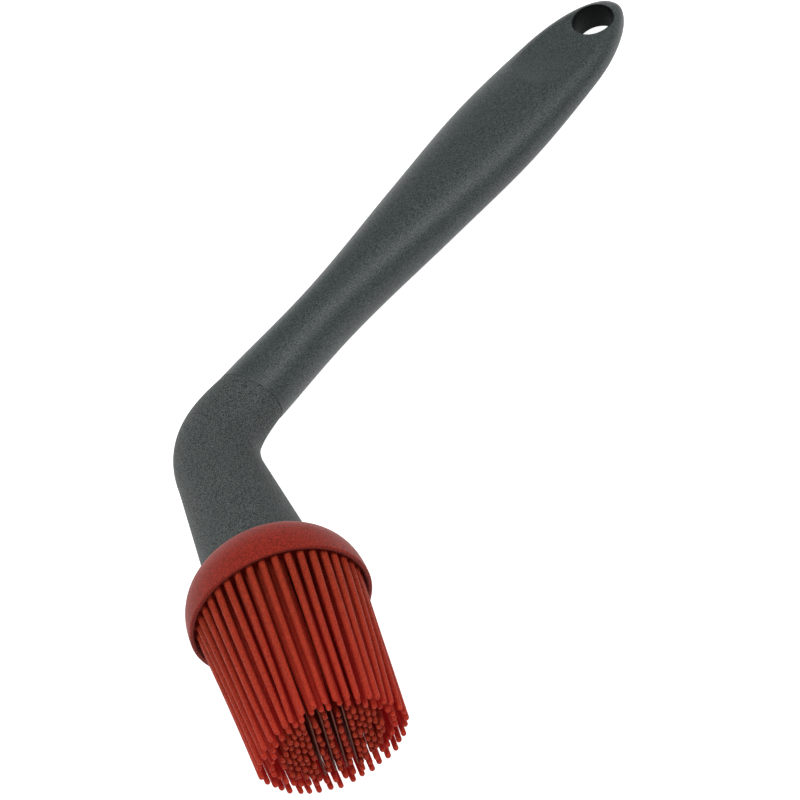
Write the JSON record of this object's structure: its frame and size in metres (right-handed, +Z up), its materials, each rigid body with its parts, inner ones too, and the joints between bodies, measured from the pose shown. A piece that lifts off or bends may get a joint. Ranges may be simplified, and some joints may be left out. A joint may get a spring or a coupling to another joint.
{
  "type": "pastry brush",
  "caption": "Silicone pastry brush with a strongly angled neck, a soft grip with a hanging hole, a round head of dense flexible bristles and thin inner flaps.",
  "frame": {"origin": "on the table under the middle of the box of the brush as it lies", "axes": "+Z up as the brush lies on its grip, the outside of its bend and its collar; +X from the head towards the hanging end of the grip"},
  "size_m": [0.2122, 0.0938, 0.0436],
  "materials": {
    "grip_tpe": "matt, fine sand texture",
    "neck_nylon": "matt, very fine grain",
    "collar_silicone": "satin, slightly dusty sheen",
    "bristle_silicone": "satin",
    "flap_silicone": "satin, slightly see-through"
  },
  "bodies": {
    "handle": {"grip": "grip_tpe", "neck": "neck_nylon", "collar": "collar_silicone"},
    "tuft": {"bristle_block": "bristle_silicone", "flap_1": "flap_silicone", "flap_2": "flap_silicone", "flap_3": "flap_silicone", "flap_4": "flap_silicone"}
  },
  "joints": [
    {"name": "bristle_flex", "type": "hinge", "parent": "handle", "child": "tuft", "pos_m": [-0.07993, -0.01783, 0.02288], "axis": [0.007, 0.2597, 0.9657], "range_deg": [-30, 30], "stiffness_Nm_per_rad": 0.18, "deforming": ["bristle_block", "flap_1", "flap_2", "flap_3", "flap_4"]}
  ]
}
